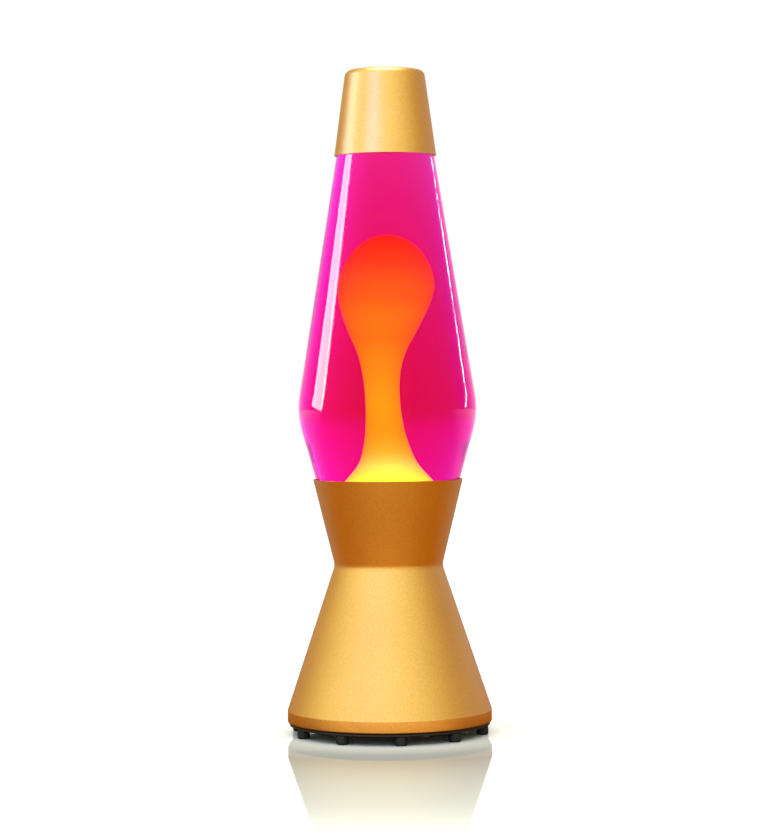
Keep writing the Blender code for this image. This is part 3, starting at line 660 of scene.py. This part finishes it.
def make_glass():
    """The hollow bottle. Where the liquid touches it, its wet material bends light less."""
    belly_radius, belly_height = belly()
    bead_bottom = MOUTH_HEIGHT - BEAD_DEPTH
    outline = rounded([
        (0, GLASS_FOOT + HOLLOW_DEPTH, 0),
        (HOLLOW_RADIUS, GLASS_FOOT + HOLLOW_DEPTH, 0.0015),
        (HOLLOW_EDGE, GLASS_FOOT, 0.0015),
        (lower_cone(GLASS_FOOT), GLASS_FOOT, 0.0030),
        (belly_radius, belly_height, BELLY_BLEND),
        (upper_cone(SHOULDER_HEIGHT), SHOULDER_HEIGHT, 0.0070),
        (NECK_RADIUS, NECK_HEIGHT, 0.0030),
        (NECK_RADIUS, bead_bottom, 0.0006),
        (BEAD_RADIUS, bead_bottom + 0.001, 0.0005),
        (BEAD_RADIUS, MOUTH_HEIGHT, 0.0012),
        (MOUTH_RADIUS, MOUTH_HEIGHT, 0.0008),
        (MOUTH_RADIUS, NECK_HEIGHT - 0.003, 0.0030),
        (upper_cone(SHOULDER_HEIGHT - 0.003) - GLASS_WALL, SHOULDER_HEIGHT - 0.003, 0.0050),
        (belly_radius - GLASS_WALL, belly_height, BELLY_BLEND - GLASS_WALL),
        (lower_cone(GLASS_FLOOR) - GLASS_WALL, GLASS_FLOOR, 0.0030),
        (0, GLASS_FLOOR, 0),
    ])
    shape = turned_shape(outline)
    dry_from = FILL_HEIGHT - 0.0002
    for face in shape.faces:
        middle = face.calc_center_median()
        outside = upper_cone(middle.z) if middle.z > belly_height else lower_cone(middle.z)
        inner = middle.xy.length < outside - GLASS_WALL * 0.6 and middle.z > GLASS_FLOOR - 0.0005
        face.material_index = 1 if inner and middle.z < dry_from else 0
    piece = add_piece("bottle_glass", shape, MATERIALS["glass"], "bottle", "glass_bottle")
    piece.data.materials.append(MATERIALS["wet_glass"])


def make_liquid():
    """The filling, which reaches a hair into the glass."""
    belly_radius, belly_height = belly()
    inset = GLASS_WALL - WETTING
    outline = rounded([
        (0, FILL_HEIGHT, 0),
        (upper_cone(FILL_HEIGHT) - inset, FILL_HEIGHT, 0),
        (belly_radius - inset, belly_height, BELLY_BLEND - inset),
        (lower_cone(GLASS_FLOOR) - inset, GLASS_FLOOR - WETTING, LOWER_ROUNDING),
        (0, GLASS_FLOOR - WETTING, 0),
    ])
    add_piece("liquid_fill", turned_shape(outline), MATERIALS["liquid"], "bottle", "liquid")


def smooth_rings(rings):
    """More rings along a Catmull-Rom curve through (radius, height, shift) rings."""
    ends = [2 * rings[0] - rings[1]] + rings + [2 * rings[-1] - rings[-2]]
    smooth = []
    for p0, p1, p2, p3 in zip(ends, ends[1:], ends[2:], ends[3:]):
        for step in range(CURVE_STEPS):
            t = step / CURVE_STEPS
            bend = 2 * p0 - 5 * p1 + 4 * p2 - p3
            twist = 3 * p1 - p0 - 3 * p2 + p3
            smooth.append(p1 + 0.5 * t * ((p2 - p0) + t * (bend + t * twist)))
    return smooth + [rings[-1]]


def make_wax():
    """The plume: a domed head on a leaning neck that widens into the pool."""
    widest_height, widest, _ = WAX_NECK[0]
    head = []
    for step in range(HEAD_STEPS):
        angle = math.pi / 2 * step / HEAD_STEPS
        height = widest_height + (WAX_TOP - widest_height) * math.cos(angle)
        head.append((widest * math.sin(angle), height, HEAD_LEAN * math.cos(angle)))
    neck = smooth_rings([Vector((radius, height, shift)) for height, radius, shift in WAX_NECK])
    bottom = GLASS_FLOOR + WAX_GAP
    pool = [
        (lower_cone(POOL_HEIGHT) - GLASS_WALL - WAX_GAP, POOL_HEIGHT),
        (lower_cone(GLASS_FLOOR) - GLASS_WALL - LOWER_ROUNDING, bottom),
        (0, bottom),
    ]
    outline = head + [tuple(ring) for ring in neck] + pool
    shape = turned_shape(outline, WAX_STEPS)
    add_piece("wax_plume", shape, MATERIALS["wax"], "bottle", "wax")


# ---- cap ----

def make_cap():
    """The cap, one sheet thick and open below."""
    outline = rounded([
        (0, CAP_HIGH.z, 0), (CAP_TOP_RADIUS, CAP_HIGH.z, CAP_BLEND), (CAP_EDGE_RADIUS, COLLAR_HEIGHT, 0),
    ])
    add_piece("cap_skin", turned_shape(walled(outline, SHEET)), MATERIALS["gold"], "cap", "top_cap")


CAD_LOOKS = {  # the start of each node's name, for every material
    "black_rubber": ("cord_gland",),
    "black_plastic": ("lamp_holder", "bulb_insulator"),
    "zinc": (
        "clamp_lug", "plate_screw", "holder_bracket", "bracket_screw", "bracket_nut",
        "holder_nipple", "nipple_nut", "block_screw", "heat_coil",
    ),
    "brass": (
        "holder_thread_shell", "live_terminal", "neutral_terminal", "centre_contact",
        "earth_tag", "terminal_screw",
    ),
    "tin": ("crown_cap", "bulb_screw_cap", "bulb_tip_contact"),
    "liner": ("crown_liner",),
    "cream": ("terminal_block",),
    "bulb": ("bulb_envelope", "bulb_stem"),
    "tungsten": ("bulb_filament",),
    "brown": ("live_lead",),
    "blue": ("neutral_lead",),
    "green": ("earth_lead",),
}


def finish_cad_nodes():
    """Better materials for the CAD nodes that stay as they are."""
    for name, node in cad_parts.items():
        for material, starts in CAD_LOOKS.items():
            if name.startswith(starts):
                node.data.materials.clear()
                node.data.materials.append(MATERIALS[material])


# ---- studio ----

def only_for(lights, pieces):
    """The lights fall on these pieces only."""
    group = bpy.data.collections.new("lit_pieces")
    for piece in pieces:
        group.objects.link(piece)
    for light in lights:
        light.light_linking.receiver_collection = group


def across(nodes, sideways, right, middle, left):
    """The colour that rays leaving the liquid gather: those from its left side head towards +X."""
    place = nodes.spread(sideways, 0.0, 1.0, *SIDE_SPAN)
    return nodes.ramp(place, [(0.0, right), (0.42, middle), (0.56, middle), (1.0, left)])


def satin_surround(nodes, direction):
    """What satin surfaces see: a wide soft key light at the front left and a pale panel at the back."""
    toward_key = nodes.vector_math("DOT_PRODUCT", direction, KEY_DIRECTION)["Value"]
    toward_rim = nodes.vector_math("DOT_PRODUCT", direction, RIM_DIRECTION)["Value"]
    softbox = nodes.ramp(nodes.spread(toward_key, 0.0, 1.0, *KEY_SPAN, smooth=True), STUDIO_SOFTBOX)
    return nodes.choose(nodes.spread(toward_rim, 0.0, 1.0, *RIM_SPAN, smooth=True), softbox, STUDIO_RIM)


def make_world():
    """White for the camera; reflections and rays that leave the bottle see studios of their own."""
    world = bpy.data.worlds.new("studio")
    bpy.context.scene.world = world
    world.use_nodes = True
    nodes = Tree(world.node_tree)
    direction = nodes.add("TexCoord").outputs["Generated"]
    heading = nodes.split(direction)
    backdrop = nodes.ramp(nodes.spread(heading["Y"], 0.0, 1.0), GLASS_SURROUND)
    sky = across(nodes, heading["X"], SKY_DUSK, SKY, SKY_LILAC)
    horizon = across(nodes, heading["X"], DUSK, WHITE, LILAC)
    refracted = nodes.choose(nodes.spread(heading["Z"], 0.0, 1.0, *HORIZON_SPAN), horizon, sky)
    rays = nodes.add("LightPath").outputs
    seen = nodes.choose(rays["Is Singular Ray"], satin_surround(nodes, direction), backdrop)
    seen = nodes.choose(rays["Is Transmission Ray"], seen, refracted)
    seen = nodes.choose(rays["Is Camera Ray"], seen, WHITE)
    nodes.link(seen, nodes.tree.nodes["Background"].inputs["Color"])


def floor_surface(nodes, distance):
    """The white floor that the camera sees, glossy round the lamp."""
    nodes.set(Base_Color=FLOOR_COLOUR, Roughness=0.6, Specular_IOR_Level=0.0)
    sheen = nodes.add("BsdfAnisotropic", Roughness=SHEEN_ROUGHNESS, Color=SHEEN_TINT)
    shares = [(position, (share, share, share)) for position, share in FLOOR_SHEEN]
    surface = nodes.add("MixShader")
    nodes.link(nodes.ramp(nodes.spread(distance, 0.0, 1.0, *SHEEN_SPAN), shares), surface.inputs["Fac"])
    nodes.link(nodes.shader.outputs["BSDF"], surface.inputs[1])
    nodes.link(sheen.outputs["BSDF"], surface.inputs[2])
    return surface.outputs["Shader"]


def floor_surround(nodes, distance, rays):
    """The light and shade painted on the floor for satin surfaces, for sharp reflections and for rays
    through the liquid.
    """
    depth = nodes.split(nodes.place())["Y"]
    behind = nodes.ramp(nodes.spread(depth, 0.0, 1.0, *GLASS_FLOOR_SPAN), GLASS_FLOOR_SURROUND)
    along = nodes.ramp(nodes.spread(depth, 0.0, 1.0, *GLOSS_SPAN), FLOOR_GLOSS)
    skirt = nodes.choose(nodes.spread(depth, 1.0, 0.0, *SKIRT_SIDE), FLOOR_NEAR, FLOOR_SKIRT)
    around = nodes.choose(nodes.spread(distance, 0.0, 1.0, *SKIRT_EDGE), skirt, along)
    around = nodes.choose(nodes.spread(distance, 0.0, 1.0, *SHADOW_EDGE), FLOOR_SHADOW, around)
    bearing = nodes.vector_math("NORMALIZE", nodes.place())["Vector"]
    gathered = across(nodes, nodes.split(bearing)["X"], DUSK, WHITE, LILAC)
    reflected = nodes.choose(rays["Is Singular Ray"], around, behind)
    return nodes.choose(rays["Is Transmission Ray"], reflected, gathered)


def make_floor():
    """A glossy white floor for the camera; other rays see it glow with painted light and shade in other
    colours.
    """
    shape = bmesh.new()
    bmesh.ops.create_grid(shape, x_segments=1, y_segments=1, size=FLOOR_SIZE)
    mesh = bpy.data.meshes.new("floor")
    shape.to_mesh(mesh)
    shape.free()
    nodes = Nodes("white_floor")
    distance = nodes.vector_math("LENGTH", nodes.place())["Value"]
    rays = nodes.add("LightPath").outputs
    glow = nodes.add("Emission")
    nodes.link(floor_surround(nodes, distance, rays), glow.inputs["Color"])
    mix = nodes.add("MixShader")
    nodes.link(rays["Is Camera Ray"], mix.inputs["Fac"])
    nodes.link(glow.outputs["Emission"], mix.inputs[1])
    nodes.link(floor_surface(nodes, distance), mix.inputs[2])
    nodes.link(mix.outputs["Shader"], nodes.output.inputs["Surface"])
    mesh.materials.append(nodes.material)
    floor = bpy.data.objects.new("floor", mesh)
    bpy.context.scene.collection.objects.link(floor)
    return floor


def strip_light(name, low, high, width, radiance):
    """A tall narrow lamp between two places, facing the axis."""
    data = bpy.data.lights.new(name, "AREA")
    data.shape = "RECTANGLE"
    along = high - low
    data.size = width
    data.size_y = along.length
    data.energy = radiance * math.pi * width * along.length
    middle = (low + high) / 2
    up = along.normalized()
    side = up.cross(middle).normalized()
    back = side.cross(up)
    light = bpy.data.objects.new(name, data)
    light.matrix_world = Matrix.Translation(middle) @ Matrix((side, up, back)).transposed().to_4x4()
    bpy.context.scene.collection.objects.link(light)
    return light


def light_floor(floor):
    """A soft sun on the floor, and four far walls of light that its sheen mirrors."""
    sun_data = bpy.data.lights.new("floor_sun", "SUN")
    sun_data.energy = SUN_ENERGY
    sun_data.angle = math.radians(SUN_ANGLE)
    sun = bpy.data.objects.new("floor_sun", sun_data)
    bpy.context.scene.collection.objects.link(sun)
    lights = [sun]
    for turn in range(4):
        low = at_angle(WALL_DISTANCE, 90 * turn)
        wall = strip_light("floor_wall", low, low + Vector((0, 0, WALL_HEIGHT)), WALL_WIDTH, 1.0)
        wall.data.color = WALL_COLOUR
        wall.visible_diffuse = False
        lights.append(wall)
    only_for(lights, [floor])


def light_glass():
    """The lights whose mirror images are the long highlights on the glass."""
    lights = []
    for name, distance, (low_angle, low), (high_angle, high), width, radiance in GLASS_LIGHTS:
        start = at_angle(distance, low_angle, low)
        end = at_angle(distance, high_angle, high)
        lights.append(strip_light(name, start, end, width, radiance))
    only_for(lights, [bpy.data.objects["bottle_glass"]])


def light_gold():
    """A light over both gold pieces, and two that cool the cap's colour."""
    cap = bpy.data.objects["cap_skin"]
    front = at_angle(OVERHEAD_REACH, 0, OVERHEAD_HEIGHT)
    back = at_angle(OVERHEAD_REACH, 180, OVERHEAD_HEIGHT)
    overhead = strip_light("overhead", front, back, OVERHEAD_WIDTH, OVERHEAD_RADIANCE)
    only_for([overhead], [cap, bpy.data.objects["base_skin"]])
    lights = []
    for name, angle, width, colour in CAP_LIGHTS:
        low, high = (at_angle(CAP_LIGHT_DISTANCE, angle, height) for height in CAP_LIGHT_SPAN)
        light = strip_light(name, low, high, width, 1.0)
        light.data.color = colour
        lights.append(light)
    only_for(lights, [cap])


def make_camera():
    """Level with the belly of the bottle, looking slightly down and rolled by half a degree."""
    data = bpy.data.cameras.new("camera")
    data.sensor_width = SENSOR_WIDTH
    data.lens = FOCAL_LENGTH
    camera = bpy.data.objects.new("camera", data)
    tilt = Matrix.Rotation(math.radians(90 - CAMERA_DIP), 4, "X")
    roll = Matrix.Rotation(math.radians(CAMERA_ROLL), 4, "Z")
    camera.matrix_world = Matrix.Translation(CAMERA_PLACE) @ tilt @ roll
    bpy.context.scene.collection.objects.link(camera)
    bpy.context.scene.camera = camera


make_camera()
make_base_shell()
make_bottom_plate()
make_feet()
make_glass()
make_liquid()
make_wax()
make_cap()
finish_cad_nodes()
make_world()
light_floor(make_floor())
light_glass()
light_gold()
bpy.context.scene.view_settings.view_transform = "Standard"
